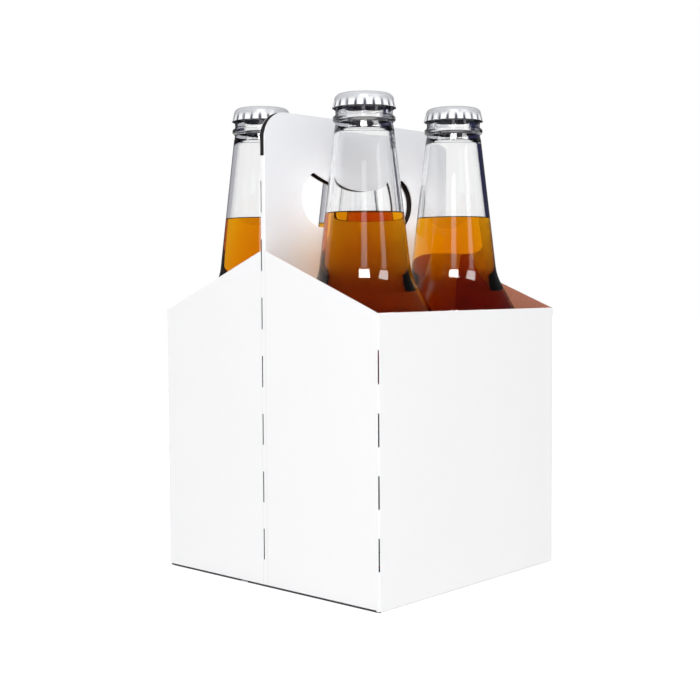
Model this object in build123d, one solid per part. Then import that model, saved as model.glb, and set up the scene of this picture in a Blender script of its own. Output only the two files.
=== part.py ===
from build123d import *
import math
import os

# A folded paperboard carrier with a raised centre handle, holding four capped glass bottles.
# Millimetres, +Z up. The origin is the middle of the underside and X runs along the handle.

# Bottle, heights measured from its own base
body_diameter = 60.5
body_wall = 2.4
base_thickness = 5.0
punt_height = 3.0
base_ring_inset = 8.25
heel_radius = 4.5
inner_heel_radius = 5.0
shoulder_height = 123.8
shoulder_rise = 15.4
shoulder_radius = 13.4
neck_foot_radius = 20.9
neck_blend_radius = 23.0
neck_top_radius = 13.4
neck_wall = 1.8
bead_radius = 14.0
bead_width = 3.4
bead_drop = 10.2
bead_foot = 2.9
throat_radius = 12.8
ring_radius = 13.0
ring_width = 4.6
ring_ramp = 1.4
lip_round = 2.4
bore_step = 3.0
bore_length = 11.0
bore_flare = 5.0
bottle_height = 218.7
fill_drop = 51.9
fill_clearance = 0.05

# Crown cap and its liner
cap_sheet = 0.24
cap_height = 7.0
cap_fit = 0.06
cap_dome = 0.7
tooth_flare = 0.2
tooth_depth = 0.9
tooth_count = 21
tooth_width_share = 0.92
liner_thickness = 0.6
liner_inset = 0.5
seat_clearance = 0.02

# Board and cells
board = 0.6
fold_inside_radius = 0.3
cell_play_length = 3.2
cell_play_width = 6.4
side_height = 124.6
peak_height = 151.5
end_lift = 0.7
bottle_rest_gap = 0.3
front_left_shift = 0.6
front_right_shift = 1.0

# Bottom flaps
flap_overlap = 26.0
joggle_gap = 1.5
joggle_run = 4.0

# Handle, partition and spine
spine_width = 2.8
spine_fold_radius = 0.7
pinch_gap = 0.2
handle_gap = 3.8
handle_height = 213.7
handle_corner_radius = 12.8
spine_drop = 20.0
partition_lift = 0.5

# Hand hole, with its cushion flap left hanging from a crease
hole_length = 79.0
hole_height = 26.0
hole_drop = 37.7
hole_shift = -2.3
crease_drop = 1.0
flap_depth = 7.0

# Cross dividers
divider_bottom = 25.0
divider_drop = 19.6
glue_tab = 14.0

# Cut-crease slits on the folds
slit_length = 14.0
slit_gap = 12.0
slit_width = 0.6
corner_slit_start = 17.4
spine_slit_start = 12.6
spine_slit_inset = 0.3
corner_slit_margin = 8.0
spine_slit_margin = 8.0

# Cuts run past the faces they open by this much
overrun = 0.2

# Worked-out sizes
body_radius = body_diameter / 2
base_ring_radius = body_radius - base_ring_inset
neck_foot_height = shoulder_height + shoulder_rise
bead_middle = bottle_height - bead_drop
neck_top_height = bead_middle - bead_width / 2 - bead_foot
bore_radius = neck_top_radius - neck_wall - bore_step
cap_crown_radius = ring_radius + cap_fit + cap_sheet
cap_top_round = lip_round + cap_fit + cap_sheet
tooth_valley_radius = cap_crown_radius + tooth_flare
tooth_tip_radius = tooth_valley_radius + tooth_depth
tooth_round = tooth_width_share * math.pi * tooth_tip_radius / tooth_count
tooth_centre = tooth_tip_radius - tooth_round
fold_radius = board + fold_inside_radius
floor_height = 2 * board
spine_half = spine_width / 2
pinch_half = board + pinch_gap / 2
handle_half = board + handle_gap / 2
cell_length = body_diameter + cell_play_length
cell_width = body_diameter + cell_play_width
half_length = cell_length + board / 2 + board
half_width = pinch_half + cell_width + board
spine_height = handle_height - spine_drop
hole_centre = handle_height - hole_drop
slit_pitch = slit_length + slit_gap
bottle_x = board / 2 + cell_length / 2


def partition_half_at(x):
    """Half the partition's thickness at x, between the pinched middle and the spine."""
    return pinch_half + (spine_half - pinch_half) * (x / half_length) ** 2


front_y = -(partition_half_at(bottle_x) + bottle_rest_gap + body_radius)
back_y = pinch_half + cell_width / 2
bottle_places = {
    "front_left": (front_left_shift - bottle_x, front_y),
    "front_right": (bottle_x + front_right_shift, front_y),
    "back_left": (-bottle_x, back_y),
    "back_right": (bottle_x, back_y),
}


def block(x_range, y_range, z_range):
    """A box from its lowest to its highest x, y and z."""
    corner = Pos(x_range[0], y_range[0], z_range[0])
    size = [high - low for low, high in (x_range, y_range, z_range)]
    return corner * Box(*size, align=(Align.MIN, Align.MIN, Align.MIN))


def turned(outline):
    """A solid of revolution from an outline of radius and height."""
    return revolve(Plane.XZ * outline, Axis.Z)


def bottle_skin():
    """The outside of the glass, from the punt to the lip, as a half outline."""
    ring_foot = bottle_height - ring_width
    punt = ThreePointArc(
        (0, punt_height),
        (base_ring_radius * math.sqrt(0.5), punt_height / 2),
        (base_ring_radius, 0),
    )
    flank = FilletPolyline(
        (base_ring_radius, 0),
        (body_radius, 0),
        (body_radius, shoulder_height),
        (neck_foot_radius, neck_foot_height),
        (neck_top_radius, neck_top_height),
        radius=[heel_radius, shoulder_radius, neck_blend_radius],
    )
    below_bead = Line((neck_top_radius, neck_top_height), (throat_radius, bead_middle - bead_width / 2))
    bead = ThreePointArc(
        (throat_radius, bead_middle - bead_width / 2),
        (bead_radius, bead_middle),
        (throat_radius, bead_middle + bead_width / 2),
    )
    finish = FilletPolyline(
        (throat_radius, bead_middle + bead_width / 2),
        (throat_radius, ring_foot - ring_ramp),
        (ring_radius, ring_foot),
        (ring_radius, bottle_height),
        (0, bottle_height),
        radius=[0, 0, lip_round],
    )
    axis = Line((0, bottle_height), (0, punt_height))
    return make_face([punt, flank, below_bead, bead, finish, axis])


def bottle_cavity(clearance, top):
    """The inside of the glass up to a height, drawn in by a clearance, as a half outline."""
    neck_lean = math.atan2(neck_foot_radius - neck_top_radius, neck_top_height - neck_foot_height)
    shoulder_lean = math.atan2(body_radius - neck_foot_radius, neck_foot_height - shoulder_height)
    shoulder_sink = body_wall * math.tan(shoulder_lean / 2)
    neck_sink = neck_wall * math.tan((shoulder_lean - neck_lean) / 2)
    bore_foot = bottle_height - bore_length
    floor = punt_height + base_thickness + clearance
    wall_radius = body_radius - body_wall - clearance
    outline = FilletPolyline(
        (0, bottle_height),
        (bore_radius - clearance, bottle_height),
        (bore_radius - clearance, bore_foot),
        (neck_top_radius - neck_wall - clearance, bore_foot - bore_flare),
        (neck_foot_radius - neck_wall - clearance, neck_foot_height - neck_sink),
        (wall_radius, shoulder_height - shoulder_sink),
        (wall_radius, base_thickness + clearance),
        (base_ring_radius, base_thickness + clearance),
        (0, floor),
        radius=[
            0,
            bore_flare / 2,
            bore_flare,
            neck_blend_radius + neck_wall,
            shoulder_radius - body_wall,
            inner_heel_radius,
            inner_heel_radius,
        ],
    )
    face = make_face([outline, Line((0, floor), (0, bottle_height))])
    above = Pos(0, top) * Rectangle(body_diameter, bottle_height, align=(Align.CENTER, Align.MIN))
    return face - above if top < bottle_height else face


def bottle():
    """The blown glass: its outside less its cavity."""
    return turned(bottle_skin()) - turned(bottle_cavity(0, bottle_height))


def drink():
    """The drink, up to the fill line in the neck."""
    return turned(bottle_cavity(fill_clearance, bottle_height - fill_drop))


def cap_form(inset):
    """A filled crown cap, drawn in on all sides by an inset, hem at the bottom."""
    rim = cap_height - cap_dome - inset
    hip = cap_height - cap_dome - cap_top_round
    radius = cap_crown_radius - inset
    round_radius = cap_top_round - inset
    dome = ThreePointArc(
        (0, rim + cap_dome),
        ((radius - round_radius) / 2, rim + cap_dome * (1 - 0.5**2)),
        (radius - round_radius, rim),
    )
    edge = RadiusArc((radius - round_radius, rim), (radius, hip), round_radius)
    rest = Polyline((radius, hip), (tooth_valley_radius - inset, 0), (0, 0), (0, rim + cap_dome))
    crown = turned(make_face([dome, edge, rest]))
    tooth = Cone(
        tooth_round - inset,
        cap_crown_radius - tooth_centre - inset,
        hip,
        align=(Align.CENTER, Align.CENTER, Align.MIN),
    )
    return crown + PolarLocations(tooth_centre, tooth_count) * tooth


def crown_cap():
    """The pressed steel cap: a thin sheet with its hem crimped into teeth."""
    return cap_form(0) - cap_form(cap_sheet)


def cap_liner():
    """The sealing disc between the lip and the cap."""
    radius = cap_crown_radius - cap_top_round - liner_inset
    return Cylinder(radius, liner_thickness, align=(Align.CENTER, Align.CENTER, Align.MIN))


def side_and_bottom():
    """Both side panels with the bottom flaps that fold in from them and overlap."""
    reach = flap_overlap / 2
    ramp_top = reach + joggle_gap
    ramp_foot = ramp_top + joggle_run
    front = FilletPolyline(
        (-half_width, side_height),
        (-half_width, 0),
        (reach, 0),
        (reach, board),
        (-half_width + board, board),
        (-half_width + board, side_height),
        radius=[0, fold_radius, 0, 0, fold_inside_radius, 0],
        close=True,
    )
    back = FilletPolyline(
        (half_width, side_height),
        (half_width, 0),
        (ramp_foot, 0),
        (ramp_top, board),
        (-reach, board),
        (-reach, 2 * board),
        (ramp_top, 2 * board),
        (ramp_foot, board),
        (half_width - board, board),
        (half_width - board, side_height),
        radius=[0, fold_radius, 0, 0, 0, 0, 0, 0, fold_inside_radius, 0],
        close=True,
    )
    run = half_length - fold_radius
    sheets = [extrude(Plane.YZ * make_face(wire), run, both=True) for wire in (front, back)]
    return sheets[0] + sheets[1]


def end_panels():
    """The gabled end panels, each with a folded corner at both sides."""
    loop = RectangleRounded(2 * half_length, 2 * half_width, fold_radius)
    loop -= RectangleRounded(2 * (half_length - board), 2 * (half_width - board), fold_inside_radius)
    ring = Pos(0, 0, end_lift) * extrude(loop, peak_height - end_lift)
    run = half_length - fold_radius
    middle = block((-run, run), (-half_width, half_width), (0, peak_height))
    high = peak_height + overrun
    wide = half_width + overrun
    slope = Polyline(
        (spine_half, high),
        (spine_half, peak_height),
        (half_width - board, side_height),
        (wide, side_height),
        (wide, high),
        close=True,
    )
    gable = extrude(Plane.YZ * make_face(slope), half_length + overrun, both=True)
    return ring - middle - gable - mirror(gable, Plane.XZ)


def slim_loop(end_half, middle_half, reach, corner):
    """A long slim face with bowed sides, the plan of the two plies and the spine."""
    front = ThreePointArc((-reach, -end_half), (0, -middle_half), (reach, -end_half))
    right = Line((reach, -end_half), (reach, end_half))
    back = ThreePointArc((reach, end_half), (0, middle_half), (-reach, end_half))
    left = Line((-reach, end_half), (-reach, -end_half))
    face = make_face([front, right, back, left])
    return fillet(face.vertices(), corner) if corner > 0 else face


def partition_form(inset, corner):
    """The filled partition and handle: pinched between the bottles, spread at the hand hole."""
    reach = half_length - inset
    low = slim_loop(spine_half - inset, pinch_half - inset, reach, corner)
    high = slim_loop(spine_half - inset, handle_half - inset, reach, corner)
    foot = floor_height + partition_lift
    pinched = Pos(0, 0, foot) * extrude(low, side_height - foot)
    spreading = loft([Pos(0, 0, side_height) * low, Pos(0, 0, peak_height) * high], ruled=True)
    spread = Pos(0, 0, peak_height) * extrude(high, handle_height - peak_height)
    return pinched + spreading + spread


def hand_hole():
    """The hole through both plies, less the cushion flap that hangs from its crease."""
    end_radius = hole_height / 2
    crease = end_radius - crease_drop
    crease_half = (hole_length - hole_height) / 2 + math.sqrt(end_radius**2 - crease**2)
    flap_radius = (crease_half**2 + flap_depth**2) / (2 * flap_depth)
    slot = SlotOverall(hole_length, hole_height)
    above = Pos(0, crease) * Rectangle(hole_length, hole_height, align=(Align.CENTER, Align.MIN))
    flap = Pos(0, crease - flap_depth + flap_radius) * Circle(flap_radius)
    outline = slot - above - flap
    return Pos(hole_shift, 0, hole_centre) * extrude(Plane.XZ * outline, half_width, both=True)


def handle_corner():
    """What the rounding takes off an upper corner of the handle."""
    size = handle_corner_radius + overrun
    outline = Rectangle(size, size, align=(Align.MIN, Align.MIN)) - Circle(handle_corner_radius)
    centre = Pos(half_length - handle_corner_radius, 0, handle_height - handle_corner_radius)
    return centre * extrude(Plane.XZ * outline, handle_half + overrun, both=True)


def handle_and_partition():
    """The two plies, joined by the spine at each end and open above it."""
    plies = partition_form(0, spine_fold_radius) - partition_form(board, 0)
    gap = spine_half - board
    beyond = half_length + overrun
    tall = handle_height + overrun
    opening = block((half_length - board - overrun, beyond), (-gap, gap), (spine_height, tall))
    for cut in (opening, handle_corner()):
        plies -= cut + mirror(cut, Plane.YZ)
    return plies - hand_hole()


def divider():
    """The cross divider on the back, folded against the side panel at its glue tab."""
    inner_face = half_width - board
    heights = (divider_bottom, side_height - divider_drop)
    web = block((-board / 2, board / 2), (pinch_half - board / 2, inner_face), heights)
    tab = block((-board / 2, glue_tab), (inner_face - board, inner_face), heights)
    return web + tab


def slit(depth, height):
    """A cut-crease slit, its thin side along X and its depth along Y, standing on a height."""
    box = Box(slit_width, depth, slit_length, align=(Align.CENTER, Align.CENTER, Align.MIN))
    return Pos(0, 0, height) * box


def slit_heights(start, top):
    """The heights of a row of slits below a top."""
    count = math.floor((top - start + slit_gap) / slit_pitch)
    return [start + index * slit_pitch for index in range(count)]


def slits():
    """All the slits: on the four corner folds and on one fold of each spine."""
    cuts = []
    corner_depth = 2 * (fold_radius + overrun)
    spine_depth = board + 2 * overrun
    spine_x = half_length - board / 2
    spine_y = spine_half - spine_slit_inset - board / 2
    for x_side in (-1, 1):
        for y_side in (-1, 1):
            corner = Pos(x_side * (half_length - fold_radius), y_side * (half_width - fold_radius))
            lean = Rot(0, 0, -45 * x_side * y_side)
            for height in slit_heights(corner_slit_start, side_height - corner_slit_margin):
                cuts.append(corner * lean * Pos(0, y_side * fold_radius) * slit(corner_depth, height))
        fold = Pos(x_side * spine_x, -x_side * spine_y)
        for height in slit_heights(spine_slit_start, spine_height - spine_slit_margin):
            cuts.append(fold * Rot(0, 0, 90) * slit(spine_depth, height))
    return cuts


def carrier():
    """The whole carrier: one sheet, folded and glued."""
    back_divider = divider()
    front_divider = mirror(mirror(back_divider, Plane.XZ), Plane.YZ)
    sheet = side_and_bottom() + end_panels() + handle_and_partition() + back_divider + front_divider
    return sheet - slits()


def save(name, shape):
    """Writes one piece."""
    export_step(shape, f"parts/{name}.step")


os.makedirs("parts", exist_ok=True)
save("carrier", carrier())
glass = bottle()
contents = drink()
cap = crown_cap()
liner = cap_liner()
bottle_foot = floor_height + seat_clearance
lip = bottle_foot + bottle_height
liner_foot = lip + seat_clearance
cap_foot = liner_foot + liner_thickness + seat_clearance + cap_sheet + cap_dome - cap_height
for place, (x, y) in bottle_places.items():
    save(f"bottle_{place}", Pos(x, y, bottle_foot) * glass)
    save(f"drink_{place}", Pos(x, y, bottle_foot) * contents)
    save(f"crown_cap_{place}", Pos(x, y, cap_foot) * cap)
    save(f"cap_liner_{place}", Pos(x, y, liner_foot) * liner)
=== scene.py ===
"""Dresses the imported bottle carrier: coated board, clear glass bottles, amber drink and crown caps.

Metres, +Z up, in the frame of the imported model: X runs along the handle and the origin is the
middle of the underside.
"""

import math

import bpy
from bpy.props import FloatProperty, FloatVectorProperty, IntProperty, PointerProperty
from mathutils import Matrix, Vector


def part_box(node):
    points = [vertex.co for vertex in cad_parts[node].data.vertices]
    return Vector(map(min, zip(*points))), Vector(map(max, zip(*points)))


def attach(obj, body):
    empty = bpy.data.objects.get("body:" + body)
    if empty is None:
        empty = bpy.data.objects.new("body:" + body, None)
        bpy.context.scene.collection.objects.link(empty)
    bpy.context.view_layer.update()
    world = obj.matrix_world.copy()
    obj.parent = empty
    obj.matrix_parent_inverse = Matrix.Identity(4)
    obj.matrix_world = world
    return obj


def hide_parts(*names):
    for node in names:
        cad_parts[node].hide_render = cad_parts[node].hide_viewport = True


bl_info = {
    "name": "Bottle carrier",
    "version": (1, 0, 0),
    "blender": (4, 5, 0),
    "location": "View3D > Sidebar > Carrier",
    "description": "Models the looks of a paperboard bottle carrier around its packed frame",
    "category": "Object",
}

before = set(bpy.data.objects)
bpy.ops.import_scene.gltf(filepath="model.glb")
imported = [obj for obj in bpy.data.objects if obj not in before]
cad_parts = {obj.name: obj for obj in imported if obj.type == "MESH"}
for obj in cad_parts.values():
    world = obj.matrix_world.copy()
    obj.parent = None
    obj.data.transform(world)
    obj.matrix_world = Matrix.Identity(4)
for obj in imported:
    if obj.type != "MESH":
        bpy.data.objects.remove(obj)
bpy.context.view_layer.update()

MM = 0.001
PLACES = ("front_left", "front_right", "back_left", "back_right")
CARRIER_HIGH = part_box("carrier")[1]
BOTTLE_LOW, BOTTLE_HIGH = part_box("bottle_front_left")
CAP_LOW, CAP_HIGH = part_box("crown_cap_front_left")
DRINK_LOW, DRINK_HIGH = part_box("drink_front_left")

# Steps and tolerances of the meshes
ROW = 4 * MM
ROW_GUARD = 0.3 * MM
SAME_POINT = MM / 1000
TURNED_WELD = MM / 500
TURNED_SMOOTH = math.radians(40)
CAP_WELD = MM / 100
CAP_SMOOTH = math.radians(50)
CAP_ROUND_STEPS = 8
SKIRT_ROWS = 10
TOOTH_COLUMNS = 24
MENISCUS_STEPS = 10

# Shape of a tooth across its width, and how fast the painted shade in its slots and the painted light on its
# pads set in
PAD_POWER = 0.7
SLOT_SHADE_GAIN = 1.7
PAINT_FADE_GAIN = 1.8

# Limits for the share of a normal that points away from the middle plane or up
FACES_AWAY = -0.3
FACES_UP = 0.2
FACES_TOP = 0.3
FACES_LEVEL = 0.5

# Where the wet inside of a base starts, in base thicknesses, and where it ends, in heights of that start
WET_START = 0.9
WET_BASE = 3

# Indices of refraction
GLASS_IOR = 1.5
DRINK_IOR = 1.34
NO_BENDING = 1

# How far the painted shade on the walls of the slits goes back from the centre of their fold, as a share of
# its reach
CORNER_RUN = 0.25
SPINE_RUN = 0.5

# How deep the painted shadow line at the foot of an end panel is and how far it keeps from the side, in fold
# radii
FOOT_DEPTH = 3
FOOT_CLEAR = 2

# Counts that tell a mirrored ray, and one that has only passed the near wall of a bottle
MIRRORED_ONCE = 0.5
NEAR_WALL = 4.5

# The room as the glass shows it: spans of a direction's share ahead, to the right or up, and levels
FLAG_SIDE = (0.48, 0.56)
FLAG_END = (0.5, 0.6)
FLAG_DEPTH = 0.94
HAZE_SPAN = (-0.75, -0.45)
HAZE_LEVELS = (0.4, 1)
CEILING_SPAN = (0.7, 0.85)
CEILING_LEVELS = (1, 0.1)
MIRROR_SPAN = (0.3, 0.8)
MIRROR_LEVELS = (0.05, 0.08)
LEFT_SPAN = (-0.2, 0)
LEFT_LEVELS = (1, 0)
ONWARD_SPAN = (0, 0.2)
DARK_LEVEL = 0.12

# Lamps: name, side, rise, width and height in metres, property of the power, and whether it only shines
LEFT = (-0.76, -0.65)
RIGHT = (0, -1)
KEY_RISE = 0.8
WINDOW_RISE = 0.66
STRIP_RISE = 0.24
LAMP_DISTANCE = 1.25
LAMPS = (
    ("key light", LEFT, KEY_RISE, (0.6, 0.8), "key", False),
    ("left window", LEFT, WINDOW_RISE, (0.5, 0.4), "left_window", True),
    ("left strip", LEFT, STRIP_RISE, (0.3, 0.36), "left_strip", True),
    ("right window", RIGHT, WINDOW_RISE, (0.45, 0.4), "right_window", True),
    ("right strip", RIGHT, STRIP_RISE, (0.26, 0.36), "right_strip", True),
)

# Floor and camera
FLOOR_SIZE = 8
SENSOR_WIDTH = 36
CLIP_START = 0.01


def length(label, text, millimetres):
    """A property that holds a length, given here in millimetres."""
    return FloatProperty(name=label, description=text, default=millimetres * MM, unit="LENGTH", precision=5)


def colour(label, text, value):
    """A property that holds a colour."""
    return FloatVectorProperty(
        name=label, description=text, default=value, subtype="COLOR", size=3, min=0, max=1
    )


def number(label, text, value):
    """A property that holds a plain number."""
    return FloatProperty(name=label, description=text, default=value)


def watts(label, text, value):
    """A property that holds the power of a lamp."""
    return FloatProperty(name=label, description=text, default=value, unit="POWER")


def degrees(label, text, value):
    """A property that holds an angle, given here in degrees."""
    return FloatProperty(name=label, description=text, default=math.radians(value), subtype="ANGLE")


class GlassSizes(bpy.types.PropertyGroup):
    """Sizes of one bottle, heights measured from its own foot, and the looks of its glass."""

    punt_height: length("Punt height", "Rise of the hollow under the base", 3.0)
    ring_radius: length("Bearing ring radius", "Radius of the ring that the bottle stands on", 22.0)
    heel_round: length("Heel round", "Radius of the rounded heel", 4.5)
    shoulder_height: length("Shoulder height", "Height at which the body turns into the shoulder", 122.4)
    shoulder_rise: length("Shoulder rise", "Height of the sloping shoulder", 16.8)
    shoulder_round: length("Shoulder round", "Radius between body and shoulder", 5.0)
    neck_foot_radius: length("Neck foot radius", "Radius where the neck leaves the shoulder", 20.9)
    neck_round: length("Neck round", "Radius between shoulder and neck", 23.0)
    neck_top_radius: length("Neck top radius", "Radius of the neck under the bead", 13.4)
    throat_radius: length("Throat radius", "Radius beside the bead", 12.8)
    bead_radius: length("Bead radius", "Largest radius of the bead", 14.0)
    bead_width: length("Bead width", "Height of the bead", 3.4)
    bead_drop: length("Bead drop", "Depth of the bead's middle under the lip", 10.2)
    bead_round: length("Bead round", "Radius of the bead's corners", 0.75)
    bead_foot: length("Bead foot", "Length of the waist under the bead", 2.9)
    finish_radius: length("Finish radius", "Radius of the ring that the cap grips", 13.0)
    finish_width: length("Finish width", "Height of the ring that the cap grips", 4.6)
    finish_ramp: length("Finish ramp", "Height of the slope under that ring", 1.4)
    lip_round: length("Lip round", "Radius of the rounded lip", 2.4)
    body_wall: length("Body wall", "Thickness of the body", 2.4)
    neck_wall: length("Neck wall", "Thickness of the neck", 1.8)
    base_thickness: length("Base thickness", "Thickness of the base", 5.0)
    inner_heel_round: length("Inner heel round", "Radius of the heel on the inside", 5.0)
    bore_step: length("Bore step", "How much the bore narrows at the lip", 3.0)
    bore_length: length("Bore length", "Length of the narrow bore", 11.0)
    bore_flare: length("Bore flare", "Length over which the bore widens", 5.0)
    turns: IntProperty(name="Turns", description="Steps around the bottle", default=128, min=24, max=256)
    tint: colour("Tint", "What the glass lets through in its depth", (0.55, 0.58, 0.62))
    density: number("Density", "Strength of the tint per metre", 12)
    wave_scale: number("Wave scale", "Fineness of the waves in the glass", 55)
    wave_strength: number("Wave strength", "Strength of the waves", 0.004)
    wave_height: length("Wave height", "Height of the waves at full strength", 1.0)


class DrinkSizes(bpy.types.PropertyGroup):
    """Sizes and colours of the drink."""

    overlap: length("Overlap", "How far the drink reaches into the glass, so that no air shows between", 0.12)
    meniscus_rise: length("Meniscus rise", "How far the drink climbs the glass at its edge", 0.5)
    meniscus_reach: length("Meniscus reach", "Width of the climbing edge", 1.8)
    colour: colour("Colour", "What the drink lets through", (0.957, 0.848, 0.02))
    shadow: colour("Shadow", "Share of the light that each side of the drink lets through", (0.5, 0.55, 0.62))
    density: number("Density", "Strength of the drink's colour per metre", 340.0)


class CapSizes(bpy.types.PropertyGroup):
    """Sizes of one crown cap, heights measured from its hem, and its colours."""

    crown_radius: length("Crown radius", "Radius of the cap at its hip", 13.3)
    dome: length("Dome", "Rise of the top", 0.7)
    top_round: length("Top round", "Radius of the rounded shoulder", 2.7)
    flare: length("Flare", "How much the valleys between the teeth flare at the hem", 0.2)
    sheet: length("Sheet", "Thickness of the steel", 0.24)
    teeth: IntProperty(name="Teeth", description="Number of teeth", default=21, min=12, max=40)
    slot_share: number("Slot share", "Width of half a slot, as a share of a tooth", 0.3)
    # Painted shade: the slot colour darkens the steel in the slots between the teeth and towards the hem
    slot: colour("Slot", "Shaded steel between the teeth", (0.045, 0.05, 0.075))
    steel: colour("Steel", "Bare steel inside the cap", (0.03, 0.032, 0.05))
    # Painted light: the teeth's lacquer is a lighter copy of the cap's grey lacquer, laid on the pads and
    # growing towards the hem
    tooth: colour("Tooth", "Lacquer of the teeth, brighter where they were pressed", (0.9, 0.9, 0.92))
    colour: colour("Colour", "Lacquer of the cap", (0.52, 0.53, 0.555))
    liner: colour("Liner", "Sealing compound under the cap", (0.72, 0.72, 0.7))


class BoardLooks(bpy.types.PropertyGroup):
    """Colours of the board, and the sizes that tell where they lie."""

    outside: colour("Outside", "White coating", (0.86, 0.86, 0.868))
    inside: colour("Inside", "Brown kraft", (0.53, 0.215, 0.135))
    edge: colour("Cut edge", "Cut edge of the board", (0.78, 0.74, 0.72))
    # Painted shade: a near-black colour laid where shade falls, in the cut-crease slits, in the hollow above
    # the spine and along the foot of the end panels
    slit_shade: colour("Slit", "Walls of the cut-crease slits", (0.02, 0.018, 0.022))
    sheet: length("Board", "Thickness of the board", 0.6)
    fold: length("Fold", "Outer radius of the corner folds", 0.9)
    spine_half: length("Half spine", "Half the width of the spine", 1.4)
    spine_height: length("Spine height", "Height at which the spine ends", 193.7)
    handle_half: length("Half handle", "Half the thickness of the handle in its middle", 2.5)
    ply_zone: length("Ply zone", "How far from the middle plane the handle plies lie", 8.0)
    # Painted shadow: a dark line along the foot of the end panels, for the shadow in the gap above the floor
    foot: length("Foot", "Height of the dark line along the foot of the end panels", 1.15)
    # Painted shade: the handle's coating is a greyer, bluer copy of the white coating
    handle: colour("Handle", "White coating on the handle, a little greyer", (0.80, 0.81, 0.84))
    crease: length("Crease", "Width of the creases beside the spine", 0.35)
    # Painted shade in the creases beside the spine
    crease_shade: number("Crease shade", "Brightness of the creases", 0.9)
    # Painted shade on the kraft between the plies
    hollow_shade: number("Hollow shade", "Brightness of the kraft between the plies", 0.03)
    grain_dark: number("Dark grain", "Brightness of the darkest fibres of the kraft", 0.6)
    grain_light: number("Light grain", "Brightness of the lightest fibres of the kraft", 1.4)
    fibre_scale: number("Fibre scale", "Fineness of the fibres", 900)
    patch_scale: number("Patch scale", "Fineness of the patches without fibres", 160)
    hollow_edge: number("Hollow edge", "Pale share of the board's thickness above the spine", 0.4)
    rim_height: length("Rim height", "Height above which the faces that look up are cut edges", 100)
    kraft_rough: number("Kraft roughness", "Roughness of the kraft", 0.9)
    coating_shine: number("Coating shine", "How much smoother the coating is than the kraft", 0.4)


class StageLooks(bpy.types.PropertyGroup):
    """Light, floor and camera."""

    room: number("Room light", "Level of the light from all round", 0.78)
    key: watts("Key light", "Power of the soft light on the left", 7.9)
    left_window: watts("Left window", "Power of the window that the glass mirrors on the left", 16)
    left_strip: watts("Left strip", "Power of the strip under that window", 1.0)
    right_window: watts("Right window", "Power of the window that the glass mirrors on the right", 6)
    right_strip: watts("Right strip", "Power of the strip under that window", 0.8)
    floor: colour("Floor", "Colour of the floor", (0.8, 0.8, 0.8))
    floor_glow: number("Floor glow", "Light that the floor adds where it is seen", 0.5)
    turned_back: colour("Turned back", "Light that the near walls throw back", (0.02, 0.02, 0.06))
    turned_left: colour("Turned left", "The same light where it leaves to the left", (0.5, 0.5, 0.54))
    shade: colour("Shade", "Tint of the room's dark parts seen through the glass", (0.2, 0.2, 1))
    lens: number("Lens", "Focal length in millimetres", 62.87)
    eye: FloatVectorProperty(
        name="Eye",
        description="Place of the camera",
        default=(-0.4405, -0.3976, 0.1361),
        subtype="XYZ",
        size=3,
    )
    yaw: degrees("Yaw", "Heading of the camera", -47.44)
    pitch: degrees("Pitch", "How far the camera looks down", 3.04)
    roll: degrees("Roll", "Tilt of the camera", -0.34)


# Modelling helpers


def start_clean():
    """Leaves edit mode and deselects everything."""
    if bpy.context.object and bpy.context.object.mode != "OBJECT":
        bpy.ops.object.mode_set(mode="OBJECT")
    bpy.ops.object.select_all(action="DESELECT")


def rounded_outline(corners, arc_steps=10):
    """Points of an outline from corners of radius, height and rounding, the ends without rounding."""
    points = [Vector(corners[0][:2])]
    for before, corner, after in zip(corners, corners[1:], corners[2:]):
        here = Vector(corner[:2])
        rounding = corner[2]
        if rounding <= 0:
            points.append(here)
            continue
        inward = (Vector(before[:2]) - here).normalized()
        outward = (Vector(after[:2]) - here).normalized()
        half = inward.angle(outward) / 2
        middle = here + (inward + outward).normalized() * rounding / math.sin(half)
        start = here + inward * rounding / math.tan(half) - middle
        end = here + outward * rounding / math.tan(half) - middle
        sweep = start.angle_signed(end)
        for step in range(arc_steps + 1):
            turn = Matrix.Rotation(-sweep * step / arc_steps, 2)
            points.append(middle + turn @ start)
    points.append(Vector(corners[-1][:2]))
    return points


def with_support_rows(points, row, guard):
    """The same outline with more points on its long straight runs, close to both of their ends too."""
    filled = [points[0]]
    for start, end in zip(points, points[1:]):
        run = (end - start).length
        if run > row:
            count = math.ceil(run / row)
            shares = [guard / run] + [step / count for step in range(1, count)] + [1 - guard / run]
            filled += [start.lerp(end, share) for share in shares]
        filled.append(end)
    return filled


def bulge(start, middle, end, steps=10):
    """Points of a curve through three points, each a radius and a height."""
    points = []
    for step in range(steps + 1):
        t = step / steps
        weights = ((1 - t) * (1 - 2 * t), 4 * t * (1 - t), t * (2 * t - 1))
        points.append(sum((Vector(p) * w for p, w in zip((start, middle, end), weights)), Vector((0, 0))))
    return points


def extruded_outline(name, points):
    """A new object whose mesh is one chain of edges, drawn by extruding a vertex, left in edit mode."""
    start_clean()
    bpy.ops.mesh.primitive_plane_add(size=MM)
    piece = bpy.context.object
    piece.name = piece.data.name = name
    bpy.ops.object.mode_set(mode="EDIT")
    bpy.ops.mesh.select_all(action="SELECT")
    bpy.ops.mesh.merge(type="CENTER")
    here = Vector((0, 0, 0))
    for index, point in enumerate(points):
        there = Vector((point[0], 0, point[1]))
        if index == 0:
            bpy.ops.transform.translate(value=there - here)
        elif (there - here).length > SAME_POINT:
            bpy.ops.mesh.extrude_vertices_move(TRANSFORM_OT_translate={"value": there - here})
        else:
            continue
        here = there
    return piece


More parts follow.
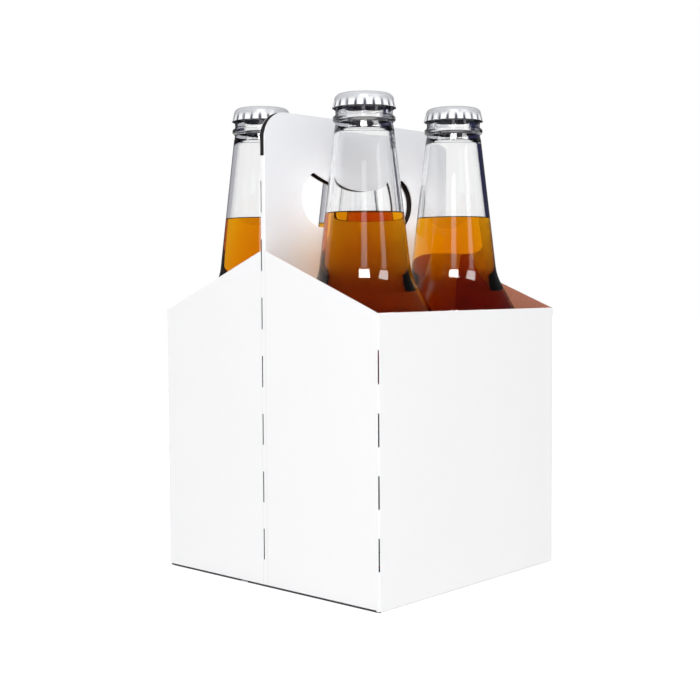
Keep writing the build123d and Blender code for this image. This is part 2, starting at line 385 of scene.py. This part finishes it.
def turned_piece(name, points, turns):
    """A closed solid of revolution about Z from an outline that starts and ends on the axis."""
    piece = extruded_outline(name, with_support_rows(points, ROW, ROW_GUARD))
    bpy.ops.mesh.select_all(action="SELECT")
    bpy.ops.mesh.spin(steps=turns, angle=2 * math.pi, center=(0, 0, 0), axis=(0, 0, 1))
    bpy.ops.mesh.select_all(action="SELECT")
    bpy.ops.mesh.remove_doubles(threshold=TURNED_WELD)
    bpy.ops.mesh.select_all(action="SELECT")
    bpy.ops.mesh.normals_make_consistent(inside=False)
    bpy.ops.object.mode_set(mode="OBJECT")
    bpy.ops.object.shade_smooth_by_angle(angle=TURNED_SMOOTH)
    return piece


def mark_wet(piece, is_wet):
    """Marks the faces where glass and drink touch, each chosen by its middle and normal."""
    marks = [1.0 if is_wet(face.center, face.normal) else 0.0 for face in piece.data.polygons]
    piece.data.attributes.new("wet", "FLOAT", "FACE").data.foreach_set("value", marks)


def set_out(pattern, kind, clear=False):
    """Puts a copy of a pattern piece in the place of each CAD node of a kind, and removes the pattern.

    A clear piece casts no shadow, since light goes through it.
    """
    for place in PLACES:
        node = f"{kind}_{place}"
        low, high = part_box(node)
        start_clean()
        pattern.select_set(True)
        bpy.context.view_layer.objects.active = pattern
        bpy.ops.object.duplicate()
        piece = bpy.context.object
        piece.name = piece.data.name = f"{node}_look"
        bpy.ops.transform.translate(value=((low.x + high.x) / 2, (low.y + high.y) / 2, low.z))
        bpy.ops.object.transform_apply(location=True, rotation=False, scale=False)
        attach(piece, "root")
        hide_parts(node)
        piece.visible_shadow = not clear
    bpy.data.objects.remove(pattern)


# Material helpers


def new_material(name):
    """A material with its nodes and its Principled shader."""
    material = bpy.data.materials.new(name)
    material.use_nodes = True
    tree = material.node_tree
    return material, tree, tree.nodes["Principled BSDF"]


def to_output(tree, name, socket):
    """Links a socket to an input of the material's output."""
    tree.links.new(socket, tree.nodes["Material Output"].inputs[name])


def add(tree, kind, **settings):
    """A node with its settings, and its inputs set by name or number in the dictionary called inputs."""
    node = tree.nodes.new(kind)
    inputs = settings.pop("inputs", {})
    for key, value in settings.items():
        setattr(node, key, value)
    for key, value in inputs.items():
        if isinstance(value, bpy.types.NodeSocket):
            tree.links.new(value, node.inputs[key])
        else:
            node.inputs[key].default_value = value
    return node


def calculate(tree, operation, *values):
    """The result of a Math node."""
    return add(tree, "ShaderNodeMath", operation=operation, inputs=dict(enumerate(values))).outputs[0]


def noise(tree, place, scale, detail):
    """A number that varies from place to place."""
    inputs = {"Vector": place, "Scale": scale, "Detail": detail}
    return add(tree, "ShaderNodeTexNoise", inputs=inputs).outputs[0]


def blended(tree, share, first, second):
    """A colour between two colours."""
    node = add(tree, "ShaderNodeMix", data_type="RGBA", inputs={0: share, 6: first, 7: second})
    return node.outputs[2]


def mixed(tree, share, first, second):
    """A number between two numbers."""
    return add(tree, "ShaderNodeMix", inputs={0: share, 2: first, 3: second}).outputs[0]


def ramp(tree, value, start, end, low=0, high=1):
    """A number that goes smoothly from low to high while a value goes from start to end."""
    spans = {"Value": value, "From Min": start, "From Max": end, "To Min": low, "To Max": high}
    return add(tree, "ShaderNodeMapRange", interpolation_type="SMOOTHSTEP", inputs=spans).outputs[0]


def towards(tree, direction, axis):
    """How much of a direction goes along an axis."""
    node = add(tree, "ShaderNodeVectorMath", operation="DOT_PRODUCT", inputs={0: direction, 1: axis})
    return node.outputs["Value"]


def two_shaders(tree, share, first, second):
    """A mix of two shaders."""
    return add(tree, "ShaderNodeMixShader", inputs={0: share, 1: first.outputs[0], 2: second.outputs[0]})


def opaque(rgb):
    """A colour with full alpha."""
    return (*rgb, 1)


def make_clear(shader, ior):
    """Makes a Principled shader smooth and clear."""
    shader.inputs["Base Color"].default_value = (1, 1, 1, 1)
    shader.inputs["Roughness"].default_value = 0
    shader.inputs["IOR"].default_value = ior
    shader.inputs["Transmission Weight"].default_value = 1


def add_depth(tree, rgb, density):
    """Colours what is inside a clear piece by its depth."""
    depth = add(tree, "ShaderNodeVolumeAbsorption", inputs={"Color": opaque(rgb), "Density": density})
    to_output(tree, "Volume", depth.outputs[0])


def glass_material(sizes):
    """Clear glass, a little grey in its depth and faintly uneven, which meets the drink where it is wet."""
    material, tree, shader = new_material("clear glass")
    make_clear(shader, GLASS_IOR)
    place = add(tree, "ShaderNodeTexCoord").outputs["Object"]
    waves = noise(tree, place, sizes.wave_scale, 1)
    bump = add(tree, "ShaderNodeBump", inputs={
        "Strength": sizes.wave_strength, "Distance": sizes.wave_height, "Height": waves})
    tree.links.new(bump.outputs[0], shader.inputs["Normal"])
    add_depth(tree, sizes.tint, sizes.density)
    wet = add(tree, "ShaderNodeAttribute", attribute_name="wet").outputs["Fac"]
    wetted = add(tree, "ShaderNodeBsdfPrincipled")
    make_clear(wetted, GLASS_IOR / DRINK_IOR)
    to_output(tree, "Surface", two_shaders(tree, wet, shader, wetted).outputs[0])
    return material


def drink_material(sizes):
    """Clear amber drink, coloured by its depth, which lets amber light through to what lies behind.

    Its wet sides don't bend the light, because the glass does that for both.
    """
    material, tree, shader = new_material("amber drink")
    make_clear(shader, DRINK_IOR)
    add_depth(tree, sizes.colour, sizes.density)
    clear = add(tree, "ShaderNodeBsdfTransparent", inputs={"Color": opaque(sizes.shadow)})
    shadow = add(tree, "ShaderNodeLightPath").outputs["Is Shadow Ray"]
    side = add(tree, "ShaderNodeAttribute", attribute_name="wet").outputs["Fac"]
    open_side = add(tree, "ShaderNodeBsdfPrincipled")
    make_clear(open_side, NO_BENDING)
    skin = two_shaders(tree, side, shader, open_side)
    to_output(tree, "Surface", two_shaders(tree, shadow, skin, clear).outputs[0])
    return material


def cap_material(sizes):
    """White lacquer on pressed steel, with painted light on the teeth and painted shade in the slots between
    them.
    """
    material, tree, shader = new_material("white cap lacquer")
    slot = add(tree, "ShaderNodeAttribute", attribute_name="slot").outputs["Fac"]
    tooth = add(tree, "ShaderNodeAttribute", attribute_name="tooth").outputs["Fac"]
    # The tooth mark blends in painted light and the slot mark painted shade
    lacquer = blended(tree, tooth, opaque(sizes.colour), opaque(sizes.tooth))
    tree.links.new(blended(tree, slot, lacquer, opaque(sizes.slot)), shader.inputs["Base Color"])
    shader.inputs["Roughness"].default_value = 0.32
    shader.inputs["Specular IOR Level"].default_value = 0.5
    return material


def plain_material(name, rgb, roughness):
    """One colour all over."""
    material, _, shader = new_material(name)
    shader.inputs["Base Color"].default_value = opaque(rgb)
    shader.inputs["Roughness"].default_value = roughness
    return material


def within(tree, value, low, high):
    """1 where a value lies between two limits, and 0 elsewhere."""
    above = calculate(tree, "GREATER_THAN", value, low)
    return calculate(tree, "MULTIPLY", above, calculate(tree, "LESS_THAN", value, high))


def any_of(tree, *masks):
    """The largest of several masks."""
    largest = masks[0]
    for mask in masks[1:]:
        largest = calculate(tree, "MAXIMUM", largest, mask)
    return largest


def all_of(tree, *masks):
    """The product of several masks."""
    product = masks[0]
    for mask in masks[1:]:
        product = calculate(tree, "MULTIPLY", product, mask)
    return product


def inside_fold(tree, along, across, centre, reach, run):
    """1 inside the thickness of a folded corner, where only the walls of the slits lie, which get painted
    shade.

    It goes back from the centre of the fold by a share of its reach.
    """
    past_x = calculate(tree, "SUBTRACT", along, centre[0])
    past_y = calculate(tree, "SUBTRACT", across, centre[1])
    square = calculate(tree, "ADD", calculate(tree, "POWER", past_x, 2), calculate(tree, "POWER", past_y, 2))
    corner = calculate(tree, "GREATER_THAN", calculate(tree, "MINIMUM", past_x, past_y), -reach * run)
    return all_of(tree, corner, calculate(tree, "LESS_THAN", square, reach**2))


def board_material(looks):
    """Coated board: white outside, brown kraft inside, paler along its cut edges, with painted shade in its
    slits, beside the spine, between the plies, along the foot of the end panels and, greyer, on the handle.
    """
    material, tree, shader = new_material("coated board")
    place = add(tree, "ShaderNodeTexCoord").outputs["Object"]
    normal = add(tree, "ShaderNodeNewGeometry").outputs["True Normal"]
    x, y, z = add(tree, "ShaderNodeSeparateXYZ", inputs={0: place}).outputs
    facing = add(tree, "ShaderNodeSeparateXYZ", inputs={0: normal}).outputs
    along = calculate(tree, "ABSOLUTE", x)
    across = calculate(tree, "ABSOLUTE", y)
    end, side = CARRIER_HIGH.x, CARRIER_HIGH.y
    skin = looks.sheet / 2

    # Outside faces: the sleeve, the underside, and the plies where they face away from each other
    in_plies = calculate(tree, "LESS_THAN", across, looks.ply_zone)
    away = calculate(tree, "MULTIPLY", calculate(tree, "SIGN", y), facing[1])
    ply_out = all_of(tree, in_plies, calculate(tree, "GREATER_THAN", away, FACES_AWAY))
    ply_in = calculate(tree, "SUBTRACT", in_plies, ply_out)
    on_end = calculate(tree, "GREATER_THAN", along, end - skin)
    end_face = calculate(tree, "SUBTRACT", on_end, ply_in)
    outside = any_of(
        tree,
        calculate(tree, "GREATER_THAN", across, side - skin),
        end_face,
        calculate(tree, "LESS_THAN", z, skin),
        ply_out,
    )

    # Kraft fibres, and painted shade on the kraft in the hollow between the plies
    fibres = noise(tree, place, looks.fibre_scale, 3)
    patches = noise(tree, place, looks.patch_scale, 4)
    dark, light = ([c * share for c in looks.inside] for share in (looks.grain_dark, looks.grain_light))
    kraft = blended(tree, fibres, opaque(dark), opaque(light))
    kraft = blended(tree, patches, kraft, opaque(looks.inside))
    kraft = blended(tree, in_plies, kraft, opaque([c * looks.hollow_shade for c in looks.inside]))
    # Painted shade: the plies of the handle get the greyer copy of the white coating
    on_handle = all_of(tree, in_plies, calculate(tree, "LESS_THAN", along, end - skin))
    coating = blended(tree, on_handle, opaque(looks.outside), opaque(looks.handle))
    face = blended(tree, outside, kraft, coating)

    # Inner part of the plies' cut edges above the spine, painted dark for the shade of the hollow it lies in
    bow = calculate(tree, "SUBTRACT", 1, calculate(tree, "POWER", calculate(tree, "DIVIDE", along, end), 2))
    spread = calculate(tree, "MULTIPLY", bow, looks.handle_half - looks.spine_half)
    inner_half = calculate(tree, "ADD", spread, looks.spine_half - looks.hollow_edge * looks.sheet)
    inner = calculate(tree, "LESS_THAN", across, inner_half)
    hollow_edge = all_of(tree, inner, calculate(tree, "GREATER_THAN", z, looks.spine_height))

    # Cut edges on top; painted shade in the creases beside the spine, in the slits and along the foot of the
    # end panels
    looks_up = calculate(tree, "GREATER_THAN", facing[2], FACES_UP)
    rim = all_of(tree, looks_up, calculate(tree, "GREATER_THAN", z, looks.rim_height))
    face = blended(tree, rim, face, opaque(looks.edge))
    face = blended(tree, hollow_edge, face, opaque(looks.slit_shade))
    half = looks.crease / 2
    beside_spine = within(tree, across, looks.spine_half - half, looks.spine_half + half)
    spine_crease_shade = all_of(tree, on_end, beside_spine)
    face = blended(tree, spine_crease_shade, face, opaque([c * looks.crease_shade for c in looks.outside]))
    # Masks for the painted shade on the walls of the slits at the corner folds and at the spine fold
    spare = skin / 4
    corner_centre = (end - looks.fold, side - looks.fold)
    corner_slit_shade = inside_fold(tree, along, across, corner_centre, looks.fold - spare, CORNER_RUN)
    spine_fold = looks.spine_half / 2
    spine_centre = (end - spine_fold, spine_fold)
    spine_slit_shade = inside_fold(tree, along, across, spine_centre, spine_fold - spare, SPINE_RUN)
    # Painted shadow along the foot of the end panels, in the same dark colour as the slits
    foot_gap_shade = all_of(
        tree,
        calculate(tree, "GREATER_THAN", along, end - FOOT_DEPTH * looks.fold),
        calculate(tree, "LESS_THAN", z, looks.foot),
        calculate(tree, "LESS_THAN", across, side - FOOT_CLEAR * looks.fold),
    )
    face = blended(tree, any_of(tree, corner_slit_shade, spine_slit_shade, foot_gap_shade), face, opaque(looks.slit_shade))
    tree.links.new(face, shader.inputs["Base Color"])
    shine = calculate(tree, "MULTIPLY", outside, looks.coating_shine)
    rough = calculate(tree, "SUBTRACT", looks.kraft_rough, shine)
    tree.links.new(rough, shader.inputs["Roughness"])
    return material


# Pieces


class CARRIER_OT_board(bpy.types.Operator):
    """Give the folded board its white coating and kraft inside"""

    bl_idname = "bottle_carrier.board"
    bl_label = "Carrier board"

    def execute(self, context):
        looks = context.scene.carrier_board
        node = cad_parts["carrier"]
        node.data.materials.clear()
        node.data.materials.append(board_material(looks))
        return {"FINISHED"}


def neck_top_height(sizes):
    """Height at which the neck meets the waist under the bead."""
    return BOTTLE_HIGH.z - BOTTLE_LOW.z - sizes.bead_drop - sizes.bead_width / 2 - sizes.bead_foot


def drink_level(sizes):
    """Height of the drink's flat surface above the foot of its bottle."""
    return DRINK_HIGH.z - BOTTLE_LOW.z - sizes.meniscus_rise / 2


def cavity_outline(sizes, spread):
    """The inside of the glass from the bore down to the base, spread outwards by a little."""
    tall = BOTTLE_HIGH.z - BOTTLE_LOW.z
    body_radius = (BOTTLE_HIGH.x - BOTTLE_LOW.x) / 2
    neck_foot = sizes.shoulder_height + sizes.shoulder_rise
    neck_lean = math.atan2(sizes.neck_foot_radius - sizes.neck_top_radius, neck_top_height(sizes) - neck_foot)
    shoulder_lean = math.atan2(body_radius - sizes.neck_foot_radius, sizes.shoulder_rise)
    shoulder_sink = sizes.body_wall * math.tan(shoulder_lean / 2)
    neck_sink = sizes.neck_wall * math.tan((shoulder_lean - neck_lean) / 2)
    bore = sizes.neck_top_radius - sizes.neck_wall - sizes.bore_step + spread
    bore_foot = tall - sizes.bore_length
    inner_neck = sizes.neck_top_radius - sizes.neck_wall + spread
    inner_foot = sizes.neck_foot_radius - sizes.neck_wall + spread
    inner_body = body_radius - sizes.body_wall + spread
    floor = sizes.base_thickness - spread
    return [
        (bore, tall, 0),
        (bore, bore_foot, sizes.bore_flare / 2),
        (inner_neck, bore_foot - sizes.bore_flare, sizes.bore_flare),
        (inner_foot, neck_foot - neck_sink, sizes.neck_round + sizes.neck_wall),
        (inner_body, sizes.shoulder_height - shoulder_sink, sizes.shoulder_round - sizes.body_wall),
        (inner_body, floor, sizes.inner_heel_round),
        (sizes.ring_radius, floor, sizes.inner_heel_round),
        (0, sizes.punt_height + floor, 0),
    ]


class CARRIER_OT_bottles(bpy.types.Operator):
    """Turn one glass bottle and set a copy in each cell"""

    bl_idname = "bottle_carrier.bottles"
    bl_label = "Glass bottles"

    def execute(self, context):
        s = context.scene.carrier_glass
        tall = BOTTLE_HIGH.z - BOTTLE_LOW.z
        body_radius = (BOTTLE_HIGH.x - BOTTLE_LOW.x) / 2
        bead_middle = tall - s.bead_drop
        bead_low = bead_middle - s.bead_width / 2
        bead_high = bead_middle + s.bead_width / 2
        finish_foot = tall - s.finish_width
        half_way = (s.ring_radius * math.sqrt(0.5), s.punt_height / 2)
        punt = bulge((0, s.punt_height), half_way, (s.ring_radius, 0))
        cavity = cavity_outline(s, 0)
        bore = cavity[0][0]
        drink = context.scene.carrier_drink
        contact = drink_level(drink) + drink.meniscus_rise
        top, foot = Vector(cavity[2][:2]), Vector(cavity[3][:2])
        edge = top.lerp(foot, (contact - top.y) / (foot.y - top.y))
        cavity.insert(3, (edge.x, edge.y, 0))
        crest = s.bead_width / 4
        flank = rounded_outline([
            (s.ring_radius, 0, 0),
            (body_radius, 0, s.heel_round),
            (body_radius, s.shoulder_height, s.shoulder_round),
            (s.neck_foot_radius, s.shoulder_height + s.shoulder_rise, s.neck_round),
            (s.neck_top_radius, neck_top_height(s), s.bead_width),
            (s.throat_radius, bead_low, s.bead_round),
            (s.bead_radius, bead_middle - crest, s.bead_round),
            (s.bead_radius, bead_middle + crest, s.bead_round),
            (s.throat_radius, bead_high, s.bead_round),
            (s.throat_radius, finish_foot - s.finish_ramp, s.finish_ramp / 2),
            (s.finish_radius, finish_foot, s.finish_ramp / 2),
            (s.finish_radius, tall, s.lip_round),
            (bore, tall, s.finish_ramp / 2),
        ] + cavity[1:])
        pattern = turned_piece("bottle pattern", punt[:-1] + flank, s.turns)
        deep = s.base_thickness * WET_START

        def is_wet(middle, normal):
            """True for the faces of the inside below the edge of the drink."""
            level = normal.z > FACES_LEVEL
            inner = level or normal.x * middle.x + normal.y * middle.y < 0
            high = level and middle.z > WET_BASE * deep
            covered = deep < middle.z < contact and middle.xy.length < body_radius - s.body_wall / 2
            return inner and covered and not high

        mark_wet(pattern, is_wet)
        pattern.data.materials.append(glass_material(s))
        set_out(pattern, "bottle", clear=True)
        return {"FINISHED"}


class CARRIER_OT_drink(bpy.types.Operator):
    """Fill the bottles up to the neck"""

    bl_idname = "bottle_carrier.drink"
    bl_label = "Drink"

    def execute(self, context):
        glass = context.scene.carrier_glass
        s = context.scene.carrier_drink
        level = drink_level(s)
        lift = DRINK_LOW.z - BOTTLE_LOW.z
        outline = rounded_outline(cavity_outline(glass, s.overlap))
        wall = [p for p in outline if p.y < level + s.meniscus_rise]
        above = [p for p in outline if p.y >= level + s.meniscus_rise][-1]
        share = (level + s.meniscus_rise - wall[0].y) / (above.y - wall[0].y)
        contact = wall[0].lerp(above, share)
        inner = contact.x - s.overlap - s.meniscus_reach
        surface = [Vector((0, level))]
        for step in range(MENISCUS_STEPS + 1):
            t = step / MENISCUS_STEPS
            surface.append(Vector((inner + t * (contact.x - inner), level + s.meniscus_rise * t**3)))
        points = [p - Vector((0, lift)) for p in surface + wall]
        pattern = turned_piece("drink pattern", points, glass.turns)
        below = level - lift - s.meniscus_rise
        mark_wet(pattern, lambda middle, normal: normal.z < FACES_TOP or middle.z < below)
        pattern.data.materials.append(drink_material(s))
        set_out(pattern, "drink")
        return {"FINISHED"}


class CARRIER_OT_caps(bpy.types.Operator):
    """Press one crown cap with its teeth and set a copy on each bottle"""

    bl_idname = "bottle_carrier.caps"
    bl_label = "Crown caps"

    def execute(self, context):
        s = context.scene.carrier_caps
        tall = CAP_HIGH.z - CAP_LOW.z
        tip_radius = (CAP_HIGH.y - CAP_LOW.y) / 2
        hip = tall - s.dome - s.top_round
        flat = s.crown_radius - s.top_round
        dome = bulge((0, tall), (flat / 2, tall - s.dome / 4), (flat, tall - s.dome))
        shoulder = []
        for step in range(1, CAP_ROUND_STEPS + 1):
            angle = math.radians(90) * (1 - step / CAP_ROUND_STEPS)
            out, rise = s.top_round * math.cos(angle), s.top_round * math.sin(angle)
            shoulder.append(Vector((flat + out, hip + rise)))
        skirt = []
        for row in range(1, SKIRT_ROWS + 1):
            drop = row / SKIRT_ROWS
            skirt.append(Vector((s.crown_radius + s.flare * drop, hip * (1 - drop))))
        piece = extruded_outline("cap pattern", dome + shoulder + skirt)
        sector = 2 * math.pi / s.teeth
        bpy.ops.mesh.select_all(action="SELECT")
        bpy.ops.mesh.spin(steps=TOOTH_COLUMNS, angle=sector, center=(0, 0, 0), axis=(0, 0, 1))
        bpy.ops.object.mode_set(mode="OBJECT")
        self.crimp(piece, hip, sector, tip_radius - s.crown_radius - s.flare, s)
        bpy.ops.object.mode_set(mode="EDIT")
        bpy.ops.mesh.select_all(action="SELECT")
        bpy.ops.mesh.spin(steps=s.teeth, angle=2 * math.pi, center=(0, 0, 0), axis=(0, 0, 1), dupli=True)
        bpy.ops.mesh.select_all(action="SELECT")
        bpy.ops.mesh.remove_doubles(threshold=CAP_WELD)
        bpy.ops.mesh.select_all(action="SELECT")
        bpy.ops.mesh.normals_make_consistent(inside=False)
        bpy.ops.object.mode_set(mode="OBJECT")
        piece.data.materials.append(cap_material(s))
        piece.data.materials.append(plain_material("bare cap steel", s.steel, roughness=0.5))
        wall = piece.modifiers.new("sheet", "SOLIDIFY")
        wall.thickness = s.sheet
        wall.offset = -1
        wall.material_offset = 1
        wall.material_offset_rim = 1
        bpy.ops.object.modifier_apply(modifier=wall.name)
        bpy.ops.object.shade_smooth_by_angle(angle=CAP_SMOOTH)
        set_out(piece, "crown_cap")
        return {"FINISHED"}

    def crimp(self, piece, hip, sector, reach, sizes):
        """Pushes the skirt of one sector out to a broad tooth, and marks where painted light goes on the
        tooth and painted shade in the slot beside it.
        """
        for name in ("slot", "tooth"):
            piece.data.attributes.new(name, "FLOAT", "POINT")
        slot, tooth = (piece.data.attributes[name] for name in ("slot", "tooth"))
        for vertex in piece.data.vertices:
            radius = math.hypot(vertex.co.x, vertex.co.y)
            if vertex.co.z < hip and radius > sizes.crown_radius - sizes.top_round:
                turn = abs(math.atan2(vertex.co.y, vertex.co.x)) / sector
                wave = math.sin(math.pi * turn) / math.sin(math.pi * sizes.slot_share)
                pad = min(1, max(0, wave)) ** PAD_POWER
                drop = 1 - vertex.co.z / hip
                fade = min(1, PAINT_FADE_GAIN * drop)
                grown = (radius + reach * pad * drop) / radius
                vertex.co.x *= grown
                vertex.co.y *= grown
                # Painted shade in the slot, growing towards the hem
                slot.data[vertex.index].value = min(1, SLOT_SHADE_GAIN * (1 - pad)) * fade
                # Painted light on the pad, growing towards the hem
                tooth.data[vertex.index].value = pad * fade


class CARRIER_OT_liners(bpy.types.Operator):
    """Give the sealing discs their finish"""

    bl_idname = "bottle_carrier.liners"
    bl_label = "Cap liners"

    def execute(self, context):
        material = plain_material("cap liner", context.scene.carrier_caps.liner, roughness=0.6)
        for place in PLACES:
            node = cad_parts[f"cap_liner_{place}"]
            node.data.materials.clear()
            node.data.materials.append(material)
        return {"FINISHED"}


def camera_axes(looks):
    """The camera's right, up and backward directions."""
    back = Vector((
        math.sin(looks.yaw) * math.cos(looks.pitch),
        -math.cos(looks.yaw) * math.cos(looks.pitch),
        math.sin(looks.pitch),
    ))
    right = Vector((math.cos(looks.yaw), math.sin(looks.yaw), 0))
    up = back.cross(right)
    c, s = math.cos(looks.roll), math.sin(looks.roll)
    return c * right + s * up, c * up - s * right, back


def turned_back(tree, ray):
    """1 for a ray that the near wall of a bottle has thrown back, so that it never went through."""
    mirrored = calculate(tree, "GREATER_THAN", ray["Glossy Depth"], MIRRORED_ONCE)
    near_wall = calculate(tree, "LESS_THAN", ray["Transmission Depth"], NEAR_WALL)
    return all_of(tree, ray["Is Transmission Ray"], mirrored, near_wall)


class CARRIER_OT_stage(bpy.types.Operator):
    """Set the floor, the soft light, the white room and the camera"""

    bl_idname = "bottle_carrier.stage"
    bl_label = "Stage"

    def execute(self, context):
        looks = context.scene.carrier_stage
        scene = context.scene
        scene.view_settings.view_transform = "Standard"
        self.floor(looks)
        self.room(scene, looks)
        for name, side, rise, size, power, only_shine in LAMPS:
            self.soft_light(name, Vector((*side, rise)), size, getattr(looks, power), only_shine)
        self.camera(scene, looks)
        return {"FINISHED"}

    def floor(self, looks):
        """A white floor, dark for the light that the near walls of the bottles throw back."""
        start_clean()
        bpy.ops.mesh.primitive_plane_add(size=FLOOR_SIZE)
        floor = bpy.context.object
        floor.name = "floor"
        material, tree, shader = new_material("white floor")
        shader.inputs["Base Color"].default_value = opaque(looks.floor)
        shader.inputs["Roughness"].default_value = 1
        shader.inputs["Specular IOR Level"].default_value = 0
        ray = add(tree, "ShaderNodeLightPath").outputs
        seen = any_of(tree, ray["Is Camera Ray"], ray["Is Glossy Ray"], ray["Is Transmission Ray"])
        glow = calculate(tree, "MULTIPLY", seen, looks.floor_glow)
        white = add(tree, "ShaderNodeEmission", inputs={"Strength": glow})
        lit = add(tree, "ShaderNodeAddShader", inputs={0: shader.outputs[0], 1: white.outputs[0]})
        dim = add(tree, "ShaderNodeEmission", inputs={"Color": opaque(looks.turned_back)})
        to_output(tree, "Surface", two_shaders(tree, turned_back(tree, ray), lit, dim).outputs[0])
        floor.data.materials.append(material)

    def room(self, scene, looks):
        """A room that is white for the camera, with darker parts for the glass."""
        world = bpy.data.worlds.new("white room")
        world.use_nodes = True
        scene.world = world
        tree = world.node_tree
        right, _, back = camera_axes(looks)
        ahead = -Vector((back.x, back.y, 0)).normalized()
        direction = add(tree, "ShaderNodeTexCoord").outputs["Generated"]
        facing = towards(tree, direction, ahead)
        beside = towards(tree, direction, right)
        height = add(tree, "ShaderNodeSeparateXYZ", inputs={0: direction}).outputs[2]
        ray = add(tree, "ShaderNodeLightPath").outputs

        # Seen through the glass: a dark flag on the right, a dimmer left and a dark ceiling
        flag = all_of(tree, FLAG_DEPTH, ramp(tree, beside, *FLAG_SIDE), ramp(tree, facing, *FLAG_END))
        haze = ramp(tree, beside, *HAZE_SPAN, *HAZE_LEVELS)
        ceiling = ramp(tree, height, *CEILING_SPAN, *CEILING_LEVELS)
        straight = all_of(tree, calculate(tree, "SUBTRACT", 1, flag), haze, ceiling)
        thrown = turned_back(tree, ray)
        through = mixed(tree, thrown, straight, 1)

        # Level for the light all round, for mirrored light, through the glass and for the camera
        mirrored = ramp(tree, facing, *MIRROR_SPAN, *MIRROR_LEVELS)
        level = mixed(tree, ray["Is Glossy Ray"], looks.room, mirrored)
        level = mixed(tree, ray["Is Transmission Ray"], level, through)
        level = mixed(tree, ray["Is Camera Ray"], level, 1)

        # Colour of the dark parts, and of the light that the near walls throw back
        is_dark = calculate(tree, "LESS_THAN", through, DARK_LEVEL)
        dark = all_of(tree, is_dark, ray["Is Transmission Ray"])
        tint = blended(tree, dark, (1, 1, 1, 1), opaque(looks.shade))
        left = ramp(tree, beside, *LEFT_SPAN, *LEFT_LEVELS)
        left_onward = all_of(tree, left, ramp(tree, facing, *ONWARD_SPAN))
        glow = blended(tree, left_onward, opaque(looks.turned_back), opaque(looks.turned_left))
        background = tree.nodes["Background"]
        tree.links.new(blended(tree, thrown, tint, glow), background.inputs["Color"])
        tree.links.new(level, background.inputs["Strength"])

    def soft_light(self, name, direction, size, power, only_shine):
        """An area lamp that either lights the pack or is only mirrored in it."""
        start_clean()
        target = Vector((0, 0, CARRIER_HIGH.z / 2))
        bpy.ops.object.light_add(type="AREA", location=target + direction.normalized() * LAMP_DISTANCE)
        lamp = bpy.context.object
        lamp.name = lamp.data.name = name
        lamp.data.shape = "RECTANGLE"
        lamp.data.size, lamp.data.size_y = size
        lamp.data.energy = power
        lamp.rotation_euler = direction.to_track_quat("Z", "Y").to_euler()
        lamp.visible_camera = False
        lamp.visible_transmission = False
        lamp.visible_diffuse = not only_shine
        lamp.visible_glossy = only_shine

    def camera(self, scene, looks):
        """The camera, at the eye, heading and lens given in the stage looks."""
        start_clean()
        bpy.ops.object.camera_add(location=looks.eye)
        camera = bpy.context.object
        camera.data.sensor_width = SENSOR_WIDTH
        camera.data.lens = looks.lens
        camera.data.clip_start = CLIP_START
        right, up, back = camera_axes(looks)
        turn = Matrix((right, up, back)).transposed().to_4x4()
        camera.matrix_world = Matrix.Translation(looks.eye) @ turn
        scene.camera = camera


class CARRIER_PT_sidebar(bpy.types.Panel):
    """Lists the carrier's pieces"""

    bl_idname = "CARRIER_PT_sidebar"
    bl_label = "Bottle carrier"
    bl_space_type = "VIEW_3D"
    bl_region_type = "UI"
    bl_category = "Carrier"

    def draw(self, context):
        for operator in OPERATORS:
            self.layout.operator(operator.bl_idname)


GROUPS = {
    "carrier_board": BoardLooks,
    "carrier_glass": GlassSizes,
    "carrier_drink": DrinkSizes,
    "carrier_caps": CapSizes,
    "carrier_stage": StageLooks,
}
OPERATORS = (
    CARRIER_OT_board,
    CARRIER_OT_bottles,
    CARRIER_OT_drink,
    CARRIER_OT_caps,
    CARRIER_OT_liners,
    CARRIER_OT_stage,
)


def register():
    """Registers the properties, the operators and the sidebar."""
    for name, group in GROUPS.items():
        bpy.utils.register_class(group)
        setattr(bpy.types.Scene, name, PointerProperty(type=group))
    for operator in OPERATORS:
        bpy.utils.register_class(operator)
    bpy.utils.register_class(CARRIER_PT_sidebar)


def unregister():
    """Takes all of it out again."""
    bpy.utils.unregister_class(CARRIER_PT_sidebar)
    for operator in reversed(OPERATORS):
        bpy.utils.unregister_class(operator)
    for name, group in reversed(GROUPS.items()):
        delattr(bpy.types.Scene, name)
        bpy.utils.unregister_class(group)


def main():
    """Builds the scene."""
    register()
    bpy.ops.bottle_carrier.board()
    bpy.ops.bottle_carrier.bottles()
    bpy.ops.bottle_carrier.drink()
    bpy.ops.bottle_carrier.caps()
    bpy.ops.bottle_carrier.liners()
    bpy.ops.bottle_carrier.stage()


if __name__ == "__main__":
    main()
